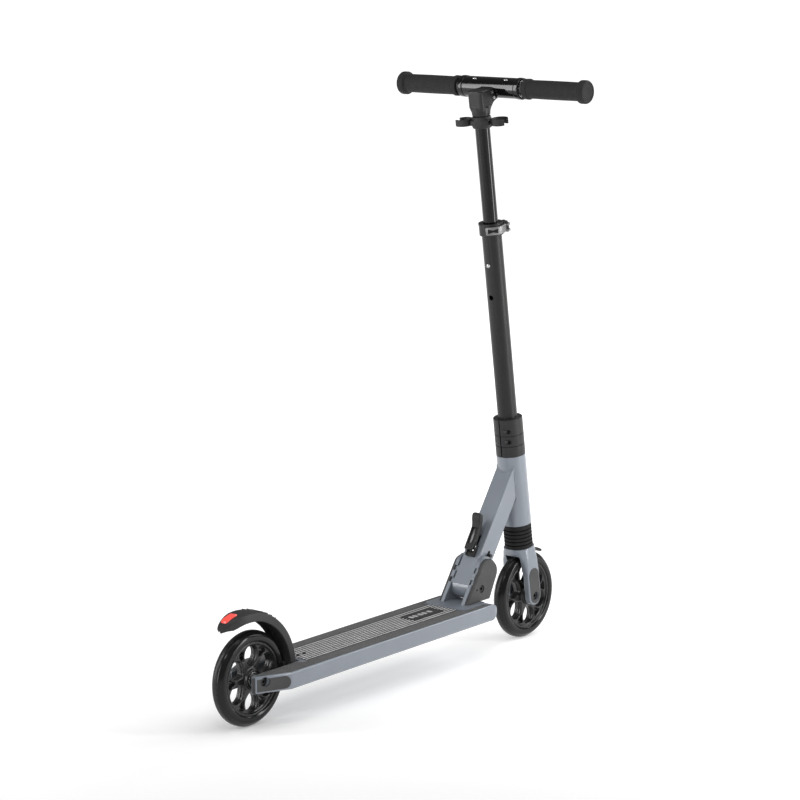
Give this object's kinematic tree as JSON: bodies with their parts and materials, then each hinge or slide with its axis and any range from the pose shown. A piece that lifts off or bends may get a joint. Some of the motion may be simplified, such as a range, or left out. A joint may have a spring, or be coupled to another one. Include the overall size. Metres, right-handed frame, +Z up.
{
  "type": "kick scooter",
  "caption": "Folding two-wheeled kick scooter with sprung front fork, height-adjustable T-handlebar, stowable grips and a fender brake.",
  "frame": {"origin": "on the ground, halfway between the two axles", "axes": "+X forwards in the direction of travel, +Y to the rider's left, +Z up"},
  "size_m": [0.821, 0.37, 0.9313],
  "materials": {
    "frame_paint": "satin grey-blue paint over aluminium",
    "grip_tape": "gritty matt grip tape",
    "rib_aluminium": "brushed ribs",
    "black_plastic": "matt moulded plastic",
    "reflector_red": "glossy red lens",
    "black_metal": "satin black coating over aluminium",
    "gloss_black_tube": "glossy black anodising",
    "black_steel": "black oxide",
    "bright_steel": "polished steel",
    "satin_steel": "satin",
    "tyre": "smooth polyurethane",
    "wheel_core": "glossy moulded core",
    "rubber_black": "matt rubber"
  },
  "bodies": {
    "deck": {"deck_extrusion": "frame_paint", "deck_nose": "frame_paint", "grip_tape": "grip_tape", "rib_panel": "rib_aluminium", "deck_screws": "black_steel", "fender_pin": "bright_steel", "arm_cover_right": "black_plastic", "arm_cover_left": "black_plastic", "rear_axle": "black_steel", "fold_bracket": "frame_paint", "bracket_cover_right": "black_plastic", "bracket_cover_left": "black_plastic", "fold_bolt": "black_steel", "fold_washers": "satin_steel"},
    "brake": {"fender": "black_plastic", "reflector": "reflector_red"},
    "rear_wheel": {"rear_tyre": "tyre", "rear_core": "wheel_core", "rear_bearings": "bright_steel"},
    "neck": {"down_tube": "frame_paint", "tube_plug": "frame_paint", "lever_housing": "black_plastic", "lever_pin": "bright_steel", "head_tube": "frame_paint", "headset_cups": "satin_steel"},
    "pedal_lever": {"fold_lever": "black_plastic"},
    "lock": {"lock_pin": "black_steel"},
    "column": {"steering_tube": "black_metal", "clamp_collar": "black_metal", "collar_bolts": "black_steel", "qr_clamp": "black_steel", "qr_bolt": "black_steel", "tube_bush": "black_plastic", "bellows": "rubber_black", "suspension_elastomer": "rubber_black"},
    "clamp_lever": {"qr_lever": "satin_steel"},
    "fork_body": {"fork": "frame_paint", "fork_stem": "satin_steel", "leg_cover_right": "black_plastic", "leg_cover_left": "black_plastic", "mudguard": "black_plastic", "front_axle": "black_steel"},
    "front_wheel": {"front_tyre": "tyre", "front_core": "wheel_core", "front_bearings": "bright_steel"},
    "bar": {"upper_tube": "gloss_black_tube", "height_button": "bright_steel", "grip_holder": "black_plastic", "stem": "black_metal", "stem_screws": "bright_steel", "t_tube": "gloss_black_tube"},
    "handle_right": {"handle_tube_right": "satin_steel", "handle_button_right": "bright_steel", "grip_right": "rubber_black"},
    "handle_left": {"handle_tube_left": "satin_steel", "handle_button_left": "bright_steel", "grip_left": "rubber_black"}
  },
  "joints": [
    {"name": "fold", "type": "hinge", "parent": "deck", "child": "neck", "pos_m": [0.18787, 0, 0.11298], "axis": [0, -1, 0], "range_deg": [0, 86]},
    {"name": "lever_press", "type": "hinge", "parent": "neck", "child": "pedal_lever", "pos_m": [0.19987, 0, 0.17727], "axis": [0, 1, 0], "range_deg": [-7, 5], "stiffness_Nm_per_rad": 0.6},
    {"name": "lock_lift", "type": "slide", "parent": "neck", "child": "lock", "axis": [0.5592, 0, 0.829], "range_m": [-0.0065, 0.00465]},
    {"name": "steer", "type": "hinge", "parent": "neck", "child": "column", "pos_m": [0.338, 0, 0.0725], "axis": [-0.1478, 0, 0.989], "range_deg": [-90, 90]},
    {"name": "bar_height", "type": "slide", "parent": "column", "child": "bar", "axis": [-0.1478, 0, 0.989], "range_m": [-0.15, 0], "deforming": ["height_button"]},
    {"name": "clamp_open", "type": "hinge", "parent": "column", "child": "clamp_lever", "pos_m": [0.26079, -0.02084, 0.69134], "axis": [-0.1478, 0, 0.989], "range_deg": [0, 150]},
    {"name": "suspension", "type": "slide", "parent": "column", "child": "fork_body", "axis": [-0.1478, 0, 0.989], "range_m": [0, 0.015], "stiffness_N_per_m": 8000, "springref_m": -0.012, "deforming": ["bellows", "suspension_elastomer"]},
    {"name": "front_wheel_spin", "type": "hinge", "parent": "fork_body", "child": "front_wheel", "pos_m": [0.338, 0, 0.0725], "axis": [0, 1, 0], "continuous": true},
    {"name": "rear_wheel_spin", "type": "hinge", "parent": "deck", "child": "rear_wheel", "pos_m": [-0.338, 0, 0.0725], "axis": [0, 1, 0], "continuous": true},
    {"name": "brake_press", "type": "hinge", "parent": "deck", "child": "brake", "pos_m": [-0.25345, 0, 0.07047], "axis": [0, -1, 0], "range_deg": [0, 12], "stiffness_Nm_per_rad": 2, "springref_deg": -11.46},
    {"name": "handle_right_pull", "type": "slide", "parent": "bar", "child": "handle_right", "axis": [0, -1, 0], "range_m": [0, 0.045], "deforming": ["handle_button_right"]},
    {"name": "handle_left_pull", "type": "slide", "parent": "bar", "child": "handle_left", "axis": [0, 1, 0], "range_m": [0, 0.045], "deforming": ["handle_button_left"]}
  ],
  "couplings": [
    {"joint": "lock_lift", "follows": "lever_press", "m_per_rad": 0.0532}
  ]
}
